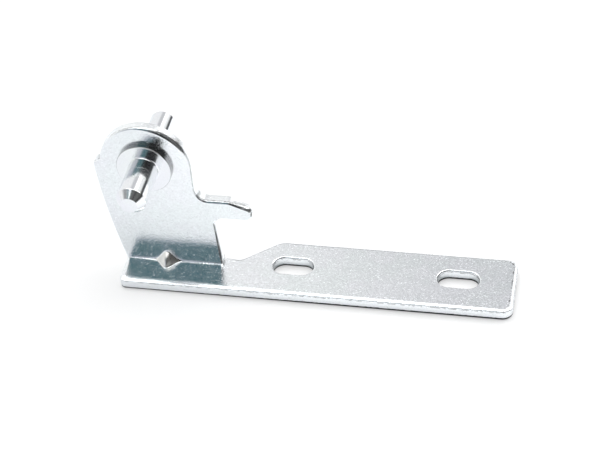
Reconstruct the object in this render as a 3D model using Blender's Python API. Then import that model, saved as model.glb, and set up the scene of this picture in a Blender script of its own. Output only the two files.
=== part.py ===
"""Door hinge bracket of a refrigerator: a stamped and folded steel bracket that carries a turned hinge pin.

The bracket is one piece of sheet. Its blank is cut with two screw slots and a rolled edge on its upper
side, and its left end is folded up through a right angle into an ear, stiffened by a dart pressed into
the fold. The ear carries the pin near its top and has a finger on its right that stops the door.
The pin is one turned piece: a shaft in front of the ear, a flange that seats on the ear and a shank
that passes through the ear and stands out behind it.

Frame: metres, +Z up. The origin lies on the underside, midway between the two screw slots. +X runs
along the plate towards its free end, and the front shaft of the pin points along -Y.
"""
import math

import bmesh
import bpy
from mathutils import Vector
from mathutils.geometry import delaunay_2d_cdt

# Sheet
SHEET = 0.0032
ROLL_WIDTH = 0.0009
ROLL_DEPTH = 0.0006
BURR_ROUND = 0.0004
ROLL_STEPS = 4
CORNER_MARGIN = 0.0002

# Plate
PLATE_WIDTH = 0.0205
SLOT_SPACING = 0.0455
SLOT_WIDTH = 0.0064
SLOT_LENGTH = 0.0114
SLOT_ROLL = 0.0004
SLOT_TO_FRONT = 0.011
SLOT_TO_FREE_END = 0.0155
SLOT_TO_HINGE_END = 0.0470
FREE_CORNER_RADIUS = 0.003
HINGE_CORNER_RADIUS = 0.0018
NECK_WIDTH = 0.0121
NECK_LENGTH = 0.0042
FLARE_ANGLE = math.radians(40.5)
FLARE_FOOT_RADIUS = 0.003
FLARE_SHOULDER_RADIUS = 0.0045

# Fold
EAR_FACE_TO_FRONT = 0.0093
BEND_RADIUS = 0.0006
BEND_STEPS = 8
RELIEF_WIDTH = 0.0006
RELIEF_DEPTH = 0.0003

# Ear
EAR_FOOT_WIDTH = 0.0275
EAR_WAIST_INSET = 0.0011
EAR_LEFT_BOW = 0.0007
PIN_TO_HINGE_END = 0.0096
PIN_HEIGHT = 0.0366
HEAD_RADIUS = 0.0124
SHOULDER_ANGLE = math.radians(174)
SHOULDER_STEP = 0.0022
SHOULDER_DROP = 0.0013
SHOULDER_RADIUS = 0.0010

# Finger
FINGER_TOP = 0.0257
FINGER_DEPTH = 0.0057
FINGER_REACH = 0.0154
FINGER_SLOPE_LENGTH = 0.0061
FINGER_SLOPE_DROP = 0.0021
FINGER_TIP_RADIUS = 0.0018
FINGER_CHIN_RADIUS = 0.0026
FINGER_BACK_DRAFT = 0.0012
FINGER_KNEE_RADIUS = 0.0040
FINGER_ROOT_RADIUS = 0.0036
FINGER_ARMPIT_RADIUS = 0.0026

# Dart
DART_TO_HINGE_END = 0.0119
DART_WIDTH = 0.0072
DART_LEG = 0.0037
DART_RIDGE_RADIUS = 0.0007

# Pin
SHAFT_DIAMETER = 0.008
SHAFT_LENGTH = 0.0144
SHAFT_CHAMFER_LENGTH = 0.0021
SHAFT_FACE_DIAMETER = 0.0046
SHAFT_FILLET = 0.0004
FLANGE_DIAMETER = 0.0150
FLANGE_THICKNESS = 0.0015
FLANGE_EDGE_RADIUS = 0.0006
SHANK_DIAMETER = 0.007
SHANK_REACH = 0.0167
SHANK_CHAMFER = 0.0005
PIN_CLEARANCE = 0.0003

# Fineness of the round forms
ARC_STEP = math.radians(9)
BOW_STEPS = 8
RIDGE_STEPS = 4
PIN_SIDES = 64
CORNER_SHARE = 0.49
MITRE_LIMIT = 0.3
MERGE_DISTANCE = 0.000001
SHARP_ANGLE = math.radians(35)

# Derived places
HINGE_END = -SLOT_SPACING / 2 - SLOT_TO_HINGE_END
FREE_END = SLOT_SPACING / 2 + SLOT_TO_FREE_END
FRONT = -SLOT_TO_FRONT
BACK = FRONT + PLATE_WIDTH
EAR_FACE = FRONT + EAR_FACE_TO_FRONT
BEND_START = EAR_FACE - BEND_RADIUS
BEND_LENGTH = (BEND_RADIUS + SHEET / 2) * math.pi / 2
BEND_TOP = SHEET + BEND_RADIUS
PIN_X = HINGE_END + PIN_TO_HINGE_END
FINGER_END = PIN_X + HEAD_RADIUS + FINGER_REACH
FINGER_BOTTOM = FINGER_TOP - FINGER_DEPTH


def clear_scene():
    """Removes every object, so that the script starts from nothing."""
    for thing in list(bpy.data.objects):
        bpy.data.objects.remove(thing, do_unlink=True)


def arc(centre, radius, start, end):
    """Points of an arc in a plane, both ends included."""
    steps = max(2, math.ceil(abs(end - start) / ARC_STEP))
    angles = [start + (end - start) * i / steps for i in range(steps + 1)]
    return [Vector((centre[0] + radius * math.cos(a), centre[1] + radius * math.sin(a))) for a in angles]


def bowed(start, end, bow):
    """Points between two places on a shallow parabola that stands out by the bow on its right-hand side."""
    side = Vector((end.y - start.y, start.x - end.x)).normalized()
    shares = [i / BOW_STEPS for i in range(1, BOW_STEPS)]
    return [start.lerp(end, share) + side * bow * 4 * share * (1 - share) for share in shares]


def rounded(before, corner, after, radius):
    """The arc that rounds one corner, kept inside the two sides that meet there."""
    to_before = before - corner
    to_after = after - corner
    half = to_before.angle(to_after) / 2
    longest = CORNER_SHARE * min(to_before.length, to_after.length)
    reach = min(radius / math.tan(half), longest)
    radius = reach * math.tan(half)
    middle = (to_before.normalized() + to_after.normalized()).normalized()
    centre = corner + middle * radius / math.sin(half)
    first = corner + to_before.normalized() * reach - centre
    last = corner + to_after.normalized() * reach - centre
    start = math.atan2(first.y, first.x)
    turn = math.atan2(first.cross(last), first.dot(last))
    return arc(centre, radius, start, start + turn)


def rounded_path(corners):
    """An open path through (x, y, radius) corners; a radius of nothing leaves the corner sharp."""
    places = [Vector(corner[:2]) for corner in corners]
    path = [places[0]]
    for i in range(1, len(corners) - 1):
        radius = corners[i][2]
        if radius:
            path += rounded(places[i - 1], places[i], places[i + 1], radius)
        else:
            path.append(places[i])
    path.append(places[-1])
    return path


def outer(radius):
    """A convex corner's radius, which is never tighter than the rolled edge that runs round it."""
    return max(radius, ROLL_WIDTH + CORNER_MARGIN)


def plate_path():
    """The plate's outline, from the fold's left end round the plate to the fold's right end."""
    neck_back = FRONT + NECK_WIDTH
    ear_right = HINGE_END + EAR_FOOT_WIDTH
    relief_right = ear_right + RELIEF_WIDTH
    relief_bottom = BEND_START - RELIEF_DEPTH
    flare_foot = relief_right + NECK_LENGTH
    flare_top = flare_foot + (BACK - neck_back) / math.tan(FLARE_ANGLE)
    corners = [
        (HINGE_END, BEND_START, 0),
        (HINGE_END, FRONT, outer(HINGE_CORNER_RADIUS)),
        (FREE_END, FRONT, outer(FREE_CORNER_RADIUS)),
        (FREE_END, BACK, outer(FREE_CORNER_RADIUS)),
        (flare_top, BACK, outer(FLARE_SHOULDER_RADIUS)),
        (flare_foot, neck_back, FLARE_FOOT_RADIUS),
        (relief_right, neck_back, 0),
        (relief_right, relief_bottom, 0),
        (ear_right, relief_bottom, 0),
        (ear_right, BEND_START, 0),
    ]
    return rounded_path(corners)


def ear_path():
    """The ear's outline in x and height, from the fold's right end over the head to the fold's left end."""
    foot_right = HINGE_END + EAR_FOOT_WIDTH
    waist = foot_right - EAR_WAIST_INSET
    head_right = PIN_X + HEAD_RADIUS
    head = arc((PIN_X, PIN_HEIGHT), HEAD_RADIUS, 0, SHOULDER_ANGLE)
    step = head[-1] + Vector((-SHOULDER_STEP, -SHOULDER_DROP))
    foot_left = Vector((HINGE_END, BEND_TOP))
    right_side = rounded_path([
        (foot_right, BEND_TOP, 0),
        (waist, FINGER_BOTTOM, FINGER_ARMPIT_RADIUS),
        (FINGER_END, FINGER_BOTTOM, outer(FINGER_CHIN_RADIUS)),
        (FINGER_END, FINGER_TOP - FINGER_SLOPE_DROP, outer(FINGER_TIP_RADIUS)),
        (FINGER_END - FINGER_SLOPE_LENGTH, FINGER_TOP, outer(FINGER_KNEE_RADIUS)),
        (head_right, FINGER_TOP, FINGER_ROOT_RADIUS),
        (head_right, PIN_HEIGHT, 0),
    ])
    shoulder_corner = rounded(head[-1], step, foot_left, outer(SHOULDER_RADIUS))
    left_side = bowed(shoulder_corner[-1], foot_left, EAR_LEFT_BOW)
    return right_side[:-1] + head + shoulder_corner + left_side + [foot_left]


def fold(x, along, depth):
    """The place of a blank's point past the fold's start, by its distance along and below the upper side."""
    reach = BEND_RADIUS + depth
    angle = min(max(along / BEND_LENGTH, 0), 1) * math.pi / 2
    rise = max(along - BEND_LENGTH, 0)
    return Vector((x, BEND_START + reach * math.sin(angle), BEND_TOP - reach * math.cos(angle) + rise))


def finger_draft(point):
    """How much of the back draft an unrolled point takes: all at the finger's sloping tip, none elsewhere."""
    height = point.y + BEND_TOP - BEND_LENGTH
    along = (point.x - FINGER_END) / FINGER_SLOPE_LENGTH + 1
    up = (height - FINGER_BOTTOM) / FINGER_DEPTH
    return min(max(along, 0), 1) * min(max(up, 0), 1)


def inset(outline, distances):
    """A closed outline moved inwards, each point along the mean of its two sides' normals."""
    moved = []
    for i, point in enumerate(outline):
        into = (point - outline[i - 1]).normalized()
        out = (outline[(i + 1) % len(outline)] - point).normalized()
        normal = Vector((-into.y - out.y, into.x + out.x)).normalized()
        moved.append(point + normal * distances[i] / max(normal.dot(Vector((-into.y, into.x))), MITRE_LIMIT))
    return moved


def slot_outline(middle, growth):
    """A screw slot's outline, larger all round by the growth."""
    radius = SLOT_WIDTH / 2 + growth
    straight = (SLOT_LENGTH - SLOT_WIDTH) / 2
    right = arc((middle + straight, 0), radius, -math.pi / 2, math.pi / 2)
    left = arc((middle - straight, 0), radius, math.pi / 2, math.pi * 3 / 2)
    return right + left


def ring(bm, places):
    """Vertices at a closed row of places."""
    return [bm.verts.new(place) for place in places]


def skirt(bm, lower, upper):
    """Quads between two rings of the same length."""
    for i in range(len(lower)):
        j = (i + 1) % len(lower)
        bm.faces.new((lower[i], lower[j], upper[j], upper[i]))


def cap(bm, loops, flat):
    """A flat face inside the first loop of vertices and outside the others, which are convex holes.

    The triangulation also fills the holes, so a triangle whose corners all lie on one hole is skipped.
    """
    verts = [vert for loop in loops for vert in loop]
    owner = [number for number, loop in enumerate(loops) for _ in loop]
    edges = []
    for loop in loops:
        start = verts.index(loop[0])
        edges += [(start + i, start + (i + 1) % len(loop)) for i in range(len(loop))]
    places = [flat(vert.co) / SHEET for vert in verts]
    triangles = delaunay_2d_cdt(places, edges, [], 1, MERGE_DISTANCE)[2]
    for triangle in triangles:
        owners = {owner[i] for i in triangle}
        if len(owners) > 1 or 0 in owners:
            bm.faces.new([verts[i] for i in triangle])


def edge_levels():
    """The rings that stack up to the sheet's upper side: depth below it, inset, and share of the draft."""
    turns = [math.pi / 2 * i / ROLL_STEPS for i in range(ROLL_STEPS + 1)]
    burr_top = SHEET - BURR_ROUND
    burr = [(burr_top + BURR_ROUND * math.cos(turn), BURR_ROUND * (1 - math.sin(turn)), 1) for turn in turns]
    roll = [(ROLL_DEPTH * (1 - math.sin(turn)), ROLL_WIDTH * (1 - math.cos(turn)), 0) for turn in turns]
    return burr + roll


def bracket_mesh():
    """The folded sheet, with its slots, its pin hole and its rolled upper edge."""
    bm = bmesh.new()
    plate = plate_path()
    ear = ear_path()
    bend = [BEND_LENGTH * i / BEND_STEPS for i in range(1, BEND_STEPS)]
    unrolled = [Vector((p.x, p.y - BEND_START)) for p in plate]
    unrolled += [Vector((plate[-1].x, along)) for along in bend]
    unrolled += [Vector((p.x, p.y - BEND_TOP + BEND_LENGTH)) for p in ear]
    unrolled += [Vector((plate[0].x, along)) for along in reversed(bend)]
    plate_count = len(plate)
    ear_start = plate_count + len(bend)
    ear_end = ear_start + len(ear)

    def raised(outline, depth):
        on_plate = [Vector((p.x, BEND_START + p.y, SHEET - depth)) for p in outline[:plate_count]]
        return on_plate + [fold(p.x, p.y, depth) for p in outline[plate_count:]]

    levels = edge_levels()
    rims = []
    for depth, amount, drafted in levels:
        distances = [amount + drafted * FINGER_BACK_DRAFT * finger_draft(p) for p in unrolled]
        rims.append(ring(bm, raised(inset(unrolled, distances), depth)))
    for lower, upper in zip(rims, rims[1:]):
        skirt(bm, lower, upper)

    slots = []
    for middle in (-SLOT_SPACING / 2, SLOT_SPACING / 2):
        rings = []
        for depth, amount, _ in levels:
            outline = slot_outline(middle, amount / ROLL_WIDTH * SLOT_ROLL)
            rings.append(ring(bm, [Vector((p.x, p.y, SHEET - depth)) for p in outline]))
        for lower, upper in zip(rings, rings[1:]):
            skirt(bm, upper, lower)
        slots.append(rings)

    hole = arc((PIN_X, PIN_HEIGHT), SHANK_DIAMETER / 2 + PIN_CLEARANCE, 0, 2 * math.pi)[:-1]
    hole_back = ring(bm, [Vector((p.x, EAR_FACE + SHEET, p.y)) for p in hole])
    hole_front = ring(bm, [Vector((p.x, EAR_FACE, p.y)) for p in hole])
    skirt(bm, hole_front, hole_back)

    for rim, which, hole_ring in ((rims[0], 0, hole_back), (rims[-1], -1, hole_front)):
        cap(bm, [rim[:plate_count]] + [rings[which] for rings in slots], lambda co: Vector((co.x, co.y)))
        cap(bm, [rim[ear_start:ear_end], hole_ring], lambda co: Vector((co.x, co.z)))
        right = rim[plate_count - 1:ear_start + 1]
        left = [rim[0]] + rim[:ear_end - 1:-1] + [rim[ear_end - 1]]
        for i in range(len(right) - 1):
            bm.faces.new((left[i], right[i], right[i + 1], left[i + 1]))
    bmesh.ops.recalc_face_normals(bm, faces=bm.faces)
    return finished_mesh(bm, "bracket")


def dart_mesh(name, corner_y, corner_z, depth):
    """A wedge that fills the fold's corner at 45 degrees, sunk by the depth into the metal behind it."""
    middle = HINGE_END + DART_TO_HINGE_END
    bm = bmesh.new()
    top = bm.verts.new((middle, corner_y, corner_z + DART_LEG))
    bottom = bm.verts.new((middle, corner_y - DART_LEG, corner_z))
    left = bm.verts.new((middle - DART_WIDTH / 2, corner_y, corner_z))
    right = bm.verts.new((middle + DART_WIDTH / 2, corner_y, corner_z))
    root = bm.verts.new((middle, corner_y + depth, corner_z - depth))
    for corners in ((left, bottom, top), (right, top, bottom), (left, top, root), (top, right, root),
                    (left, root, bottom), (root, right, bottom)):
        bm.faces.new(corners)
    bmesh.ops.recalc_face_normals(bm, faces=bm.faces)
    ridge = bm.edges.get((top, bottom))
    bmesh.ops.bevel(bm, geom=[ridge], offset=DART_RIDGE_RADIUS, segments=RIDGE_STEPS, affect="EDGES")
    return finished_mesh(bm, name)


def pin_profile():
    """The pin's half section as (distance along +Y from the flange's seat, radius), front to back."""
    shaft = SHAFT_DIAMETER / 2
    flange = FLANGE_DIAMETER / 2
    shank = SHANK_DIAMETER / 2
    face = -FLANGE_THICKNESS
    tip = face - SHAFT_LENGTH
    end = SHEET + PIN_CLEARANCE + SHANK_REACH
    fillet = arc((face - SHAFT_FILLET, shaft + SHAFT_FILLET), SHAFT_FILLET, -math.pi / 2, 0)
    edge_centre = (face + FLANGE_EDGE_RADIUS, flange - FLANGE_EDGE_RADIUS)
    edge = arc(edge_centre, FLANGE_EDGE_RADIUS, math.pi, math.pi / 2)
    points = [(tip, 0), (tip, SHAFT_FACE_DIAMETER / 2), (tip + SHAFT_CHAMFER_LENGTH, shaft)]
    points += [tuple(p) for p in fillet + edge]
    points += [(0, flange), (0, shank), (end - SHANK_CHAMFER, shank), (end, shank - SHANK_CHAMFER), (end, 0)]
    return points


def pin_mesh():
    """The turned pin about its own Y axis, with the flange's seat at its origin."""
    bm = bmesh.new()
    verts = [bm.verts.new((radius, along, 0)) for along, radius in pin_profile()]
    edges = [bm.edges.new(pair) for pair in zip(verts, verts[1:])]
    bmesh.ops.spin(bm, geom=verts + edges, cent=(0, 0, 0), axis=(0, 1, 0), angle=2 * math.pi, steps=PIN_SIDES,
                   use_merge=True)
    bmesh.ops.remove_doubles(bm, verts=bm.verts, dist=MERGE_DISTANCE)
    bmesh.ops.recalc_face_normals(bm, faces=bm.faces)
    return finished_mesh(bm, "hinge_pin")


def finished_mesh(bm, name):
    """A mesh from its bmesh."""
    mesh = bpy.data.meshes.new(name)
    bm.to_mesh(mesh)
    bm.free()
    return mesh


def smoothed(thing):
    """Shades an object smooth over its rounded stretches."""
    thing.data.shade_smooth()
    thing.data.set_sharp_from_angle(angle=SHARP_ANGLE)


def metal(name, colour, roughness):
    """A plated or bright steel surface."""
    material = bpy.data.materials.new(name)
    material.use_nodes = True
    shader = material.node_tree.nodes["Principled BSDF"]
    shader.inputs["Base Color"].default_value = (*colour, 1)
    shader.inputs["Metallic"].default_value = 1
    shader.inputs["Roughness"].default_value = roughness
    return material


def placed(name, mesh, material, location=(0, 0, 0)):
    """A named object with its material, linked to the scene."""
    thing = bpy.data.objects.new(name, mesh)
    thing.location = location
    if material:
        mesh.materials.append(material)
    bpy.context.collection.objects.link(thing)
    return thing


def press(target, mesh, operation):
    """Adds or cuts a tool's shape with a Boolean, and takes the tool away again."""
    tool = placed(mesh.name, mesh, None)
    modifier = target.modifiers.new(mesh.name, "BOOLEAN")
    modifier.operation = operation
    modifier.solver = "EXACT"
    modifier.object = tool
    graph = bpy.context.evaluated_depsgraph_get()
    pressed = bpy.data.meshes.new_from_object(target.evaluated_get(graph), depsgraph=graph)
    target.modifiers.clear()
    target.data = pressed
    bpy.data.objects.remove(tool, do_unlink=True)


def make_bracket():
    """The folded bracket with the dart pressed into its fold: a ridge inside and its hollow outside."""
    bracket = placed("bracket", bracket_mesh(), metal("zinc_plated_sheet", (0.72, 0.74, 0.75), 0.34))
    press(bracket, dart_mesh("dart_ridge", EAR_FACE, SHEET, SHEET / 2), "UNION")
    press(bracket, dart_mesh("dart_hollow", EAR_FACE + SHEET, 0, SHEET), "DIFFERENCE")
    smoothed(bracket)


def make_pin():
    """The hinge pin, its flange seated on the ear's face."""
    seat = (PIN_X, EAR_FACE - PIN_CLEARANCE, PIN_HEIGHT)
    pin = placed("hinge_pin", pin_mesh(), metal("zinc_plated_pin", (0.78, 0.79, 0.80), 0.16), seat)
    smoothed(pin)


clear_scene()
make_bracket()
make_pin()
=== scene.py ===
"""The looks of a refrigerator's door hinge bracket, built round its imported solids.

The bracket is made again as one fine folded sheet, with a smooth rolled edge on its upper side, a burr round
its underside and the dart drawn softly into the fold. The pin is turned from a fine half section. Both carry
bright zinc plating. Metres, +Z up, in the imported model's own frame.
"""
import math
from collections import namedtuple

import bmesh
import bpy
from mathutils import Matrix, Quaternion, Vector, noise
from mathutils.geometry import delaunay_2d_cdt


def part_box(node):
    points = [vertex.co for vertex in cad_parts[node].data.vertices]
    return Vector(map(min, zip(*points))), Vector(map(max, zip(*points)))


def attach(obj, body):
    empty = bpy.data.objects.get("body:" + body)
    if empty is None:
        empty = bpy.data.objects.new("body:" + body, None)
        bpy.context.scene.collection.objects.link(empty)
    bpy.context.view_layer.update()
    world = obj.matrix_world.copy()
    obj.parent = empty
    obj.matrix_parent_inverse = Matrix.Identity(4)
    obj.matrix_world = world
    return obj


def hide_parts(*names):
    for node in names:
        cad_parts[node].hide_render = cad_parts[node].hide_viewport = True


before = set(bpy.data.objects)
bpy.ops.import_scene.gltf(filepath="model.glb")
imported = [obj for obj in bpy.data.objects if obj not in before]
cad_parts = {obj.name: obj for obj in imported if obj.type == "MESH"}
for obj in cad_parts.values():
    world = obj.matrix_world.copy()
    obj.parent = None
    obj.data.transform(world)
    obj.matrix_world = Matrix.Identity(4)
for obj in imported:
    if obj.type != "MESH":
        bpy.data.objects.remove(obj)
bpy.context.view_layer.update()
bracket_low, bracket_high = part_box("bracket")
pin_low, pin_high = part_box("hinge_pin")

# Sheet and its edges. The front's roll widens from the free end to the hinge end, and the support is the narrow
# strip of faces that keeps each flat face's shading clear of its round edge.
SHEET = 0.0032
ROLL_WIDTH = 0.0013
FRONT_ROLL_WIDTH = 0.0010
FOLD_ROLL_WIDTH = 0.0027
FOLD_ROLL_REACH = 0.020
ROLL_DEPTH = 0.0005
ROLL_STEPS = 12
ROLL_UNEVENNESS = 0.10
ROLL_UNEVENNESS_LENGTH = 0.0045
BURR_ROUND = 0.0004
BURR_STEPS = 5
SUPPORT = 0.00008

# Plate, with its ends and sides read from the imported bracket
FRONT = bracket_low.y
BACK = bracket_high.y
FREE_END = bracket_high.x
SLOT_SPACING = 0.0455
SLOT_WIDTH = 0.0064
SLOT_LENGTH = 0.0114
SLOT_ROLL = 0.0004
HINGE_END = -SLOT_SPACING / 2 - 0.0470
FREE_CORNER_RADIUS = 0.003
HINGE_CORNER_RADIUS = 0.0018
NECK_WIDTH = 0.0121
NECK_LENGTH = 0.0042
FLARE_ANGLE = math.radians(40.5)
FLARE_FOOT_RADIUS = 0.003
FLARE_SHOULDER_RADIUS = 0.0045

# Fold
EAR_FACE = FRONT + 0.0093
BEND_RADIUS = 0.0001
BEND_STEPS = 10
BEND_START = EAR_FACE - BEND_RADIUS
BEND_TOP = SHEET + BEND_RADIUS
BEND_LENGTH = (BEND_RADIUS + SHEET / 2) * math.pi / 2
RELIEF_WIDTH = 0.0004
RELIEF_DEPTH = 0.0003

# Ear, with the pin's place and the head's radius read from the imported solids
PIN_X = (pin_low.x + pin_high.x) / 2
PIN_HEIGHT = (pin_low.z + pin_high.z) / 2
HEAD_RADIUS = bracket_high.z - PIN_HEIGHT
EAR_FOOT_WIDTH = 0.0275
EAR_RIGHT = HINGE_END + EAR_FOOT_WIDTH
EAR_WAIST_INSET = 0.0011
EAR_LEFT_BOW = 0.0007
SHOULDER_ANGLE = math.radians(174)
SHOULDER_STEP = 0.0022
SHOULDER_DROP = 0.0013
SHOULDER_RADIUS = 0.0011

# Finger
FINGER_TOP = 0.0257
FINGER_BOTTOM = 0.0198
FINGER_END = PIN_X + HEAD_RADIUS + 0.0154
FINGER_SLOPE_LENGTH = 0.0061
FINGER_SLOPE_DROP = 0.0021
FINGER_TIP_RADIUS = 0.0018
FINGER_CHIN_RADIUS = 0.0026
FINGER_KNEE_RADIUS = 0.0040
FINGER_ROOT_RADIUS = 0.0036
FINGER_ARMPIT_RADIUS = 0.0026
FINGER_BACK_DRAFT = 0.0012

# The roll's width, depth and flatness round the ear, what each place adds to them, and the sag inside the
# head's roll
EAR_ROLL = (0.0004, 0.0003, 0.2)
HEAD_ROLL = (0.0004, 0.0005, 0.55)
HEAD_REACH = HEAD_RADIUS * 1.05
HEAD_ROLL_MIDDLE = math.radians(32)
HEAD_ROLL_SPREAD = math.radians(42)
HEAD_SAG_WIDTH = 0.0034
HEAD_SAG_DEPTH = 0.00037
HEAD_SAG_MIDDLE = math.radians(24)
HEAD_SAG_SPREAD = math.radians(70)
SAG_STEPS = 8
FINGER_ROLL = (0.0001, 0.0002, 0.4)
FINGER_TIP_ROLL = (0.0002, 0.0007, 0.1)
FOOT_ROLL = (0, 0.0002, 0.2)
FOOT_ROLL_HEIGHT = 0.012
RELIEF_ROLL = (0.0001, 0.0001, 0)

# Dart: its legs at the middle, how fast they shorten to the sides, and the push at which it is fully scuffed
DART_X = HINGE_END + 0.0119
DART_SPREAD = 0.0023
DART_LEG = 0.0033
DART_BULGE = 0.28
DART_SOFTNESS = 0.0003
DART_ZONE = 0.0052
DART_CELLS = 44
DART_SCUFF = 0.0006

# Pin
SHAFT_RADIUS = 0.004
SHAFT_CHAMFER_LENGTH = 0.0021
SHAFT_FACE_RADIUS = 0.0023
SHAFT_FILLET = 0.0004
FLANGE_RADIUS = (pin_high.x - pin_low.x) / 2
FLANGE_THICKNESS = 0.0015
FLANGE_EDGE_RADIUS = 0.00025
FLANGE_GAP = 0.00004
SHANK_RADIUS = 0.0035
SHANK_CHAMFER = 0.0005
SHANK_FIT = 0.00003
HOLE_CHAMFER = 0.0002
PIN_EDGE = 0.00012
TIP_EDGE = 0.00018
CHAMFER_EDGE = 0.0003
SEAT_EDGE = 0.00003
PIN_SIDES = 160

# Fineness of the outline
ARC_STEP = math.radians(4)
BOW_STEPS = 24
LONG_STRETCH = 0.0034
STRETCH_STEP = 0.0006
CORNER_CLEAR = 0.0013
CORNER_SHARE = 0.49
MITRE_LIMIT = 0.3
MERGE_DISTANCE = 0.000001

# Floor, camera and light
FLOOR_DROP = 0.00025
FLOOR_SIZE = 4.0
LENS = 96.382
SENSOR_WIDTH = 36
NEAREST = 0.01
CAMERA_AZIMUTH = math.radians(14.146)
CAMERA_ELEVATION = math.radians(41.0)
CAMERA_ROLL = math.radians(-5.023)
CAMERA_DISTANCE = 0.436462
CAMERA_TARGET = Vector((-0.020821, 0.004, 0.014852))
LAMP_AZIMUTH = math.radians(62)
LAMP_ELEVATION = math.radians(38)
LAMP_DISTANCE = 0.9
LAMP_SIZE = 0.35
LAMP_POWER = 1.6

# Plating of the sheet and of the pin. A noise is its scale per metre, or per crystal for the grain, its detail
# and its roughness. Tones and roughness are the most speckle, then the value at none and at the most.
WHITE = (1, 1, 1)
CELLS_PER_CRYSTAL = 1.3
SPARKLE_START = 0.86
SPARKLE_HEIGHT = 2.0
GRAIN_NOISE = (1.0, 3.0, 0.65)
GRAIN_RANGE = (0.36, 0.64)
CELL_SHARE = 0.3
BROAD_CLOUDS = (70.0, 2.0, 0.5)
SMALL_CLOUDS = (260.0, 3.0, 0.55)
BROAD_SHARE = 0.6
TINT_RANGE = (0.38, 0.62)
DULL_RANGE = (0.35, 0.7)
GREEN_TINT = (0.965, 0.99, 0.985)
SHEET_VIOLET = (0.985, 0.985, 1.0)
SHEET_TINT_STRENGTH = 0.9
SHEET_CRYSTAL = 0.0005
SHEET_SPARKLE = 0.7
SHEET_TONES = (1.3, 0.80, 1.0)
SHEET_HUE = (0.98, 0.992, 1.0)
SHEET_ROUGHNESS = (1.6, 0.125, 0.08)
DULL_ROUGHNESS = 0.03
SHEET_BUMP = 0.000014
PIN_VIOLET = (0.95, 0.955, 0.995)
PIN_TINT_STRENGTH = 0.8
PIN_CRYSTAL = 0.0003
PIN_SPARKLE = 0.3
PIN_TONES = (1.6, 0.84, 0.95)
PIN_ROUGHNESS = (1.6, 0.13, 0.09)
PIN_BUMP = 0.0000025
RING_NOISE = (9000.0, 2.0, 0.6)
RING_SHARE = 0.5
BRUSHED_ALONG = (pin_low.y + SHAFT_CHAMFER_LENGTH, pin_low.y + SHAFT_CHAMFER_LENGTH + 0.0002)
BRUSHED_STRENGTH = 0.5
# The flange's darkened side: partly dirt, partly painted shade of its joint with the ear
FLANGE_SIDE = (FLANGE_RADIUS - 0.0002, FLANGE_RADIUS - 0.00005)
FLANGE_SIDE_STRENGTH = 0.6
FLANGE_SIDE_DIRT_AND_SHADE_COLOUR = (0.06, 0.06, 0.055)

# Marks on the sheet, and painted shade on it. A range is its start and end, then the two values it runs between if
# not nothing and one.
# Three numbers are a window's two limits and softness. Depths are measured down from the upper face.
EAR_RISE = (SHEET, 2 * SHEET)
RAGGED_NOISE = (1700.0, 3.0, 0.6)
RAGGEDNESS = 0.0004
EDGE_STRENGTH = 0.6
EDGE_COLOUR = (0.97, 0.98, 0.985)
SHEARED_RIM = (0.6, 1.0)
SHEARED_ROUGHNESS = 0.12
# The plate's lower burr is darkened, partly as dark burr and partly as painted contact shadow; its colour also
# serves the other dark marks and the relief's painted shade
BURR_SHADOW_ALONG = (-0.06, 0.0)
BURR_SHADOW_GROWTH = (0.00016, 0.00035)
BURR_SHADOW_DEPTHS = (SHEET - 0.0005, SHEET - 0.00035)
DARK_MARK_AND_SHADE_COLOUR = (0.025, 0.025, 0.025)
SEAM_DEPTHS = (0.00057, 0.00075, 0.00012)
SEAM_ALONG = (-0.02, FREE_END)
SEAM_FULLER = 0.07
SEAM_NOISE = (900.0, 2.0, 0.5)
SEAM_GAPS = (0.48, 0.6)
SEAM_STRENGTH = 0.85
# Painted shade in the relief notch: its softness, its fade upwards and its strength
RELIEF_SHADE_SOFTNESS = 0.0001
RELIEF_SHADE_FADE = 0.0003
RELIEF_SHADE_STRENGTH = 0.95
DOTS_RIM = (0.04, 0.3, 0.05)
DOTS_ALONG = (FREE_END - 0.006, FREE_END - 0.002)
DOTS_NOISE = (1500.0, 2.0, 0.5)
DOTS_GAPS = (0.5, 0.56)
DOTS_STRENGTH = 0.7
# Painted shade on the lower walls in line with the slots, where they mirror the shadowed floor
SLOT_SHADE_ACROSS_SOFTNESS = 0.0003
SLOT_SHADE_ALONG_SOFTNESS = 0.001
SLOT_SHADE_FADE = 0.1
SLOT_SHADE_DEPTHS = (0.0013, 0.0027, 0.0, 0.55)
SLOT_SHADE_COLOUR = (0.14, 0.20, 0.21)
# A darker band along the ear's right edge, deeper on the finger's slope, weaker at the tip and higher up
DARKENING_ALONG = (PIN_X + HEAD_RADIUS - 0.0035, PIN_X + HEAD_RADIUS - 0.0015)
DARKENING_RIM = (0.3, 0.7)
DARKENING_DEPTHS = (0.0008, 0.001, 1.0, 0.0)
DARKENING_SLOPE = (FINGER_END - FINGER_SLOPE_LENGTH + 0.0008, FINGER_END - 0.0018, 0.0007)
DARKENING_SLOPE_HEIGHTS = (FINGER_BOTTOM + 0.002, FINGER_BOTTOM + 0.003)
DARKENING_SLOPE_DEPTH = 0.0011
DARKENING_GAPS = (0.3, 0.6, 0.25, 0.7)
DARKENING_AT_TIP = (FINGER_END - 0.003, FINGER_END - 0.001, 1.0, 0.3)
DARKENING_UPWARDS = (0.007, 0.014, 1.0, 0.6)
DARKENING_COLOUR = (0.08, 0.09, 0.10)
SCUFF_RANGE = (0.1, 0.9)
SCUFF_STRENGTH = 0.6
SCUFF_COLOUR = (0.80, 0.77, 0.71)
SCUFF_ROUGHNESS = 0.17

# Floor as the camera sees it, and as the metal mirrors it, where a painted shadow darkens it to the left
FLOOR_ROUGHNESS = 0.9
FLOOR_SEEN_COLOUR = (0.5, 0.5, 0.5)
FLOOR_SEEN_GLOW = 0.5
FLOOR_TURN = (-0.095, -0.05)
FLOOR_LEFT_SHADOW_COLOUR = (0.86, 0.872, 0.892)
FLOOR_COLOUR = (0.97, 0.983, 1.0)

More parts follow.
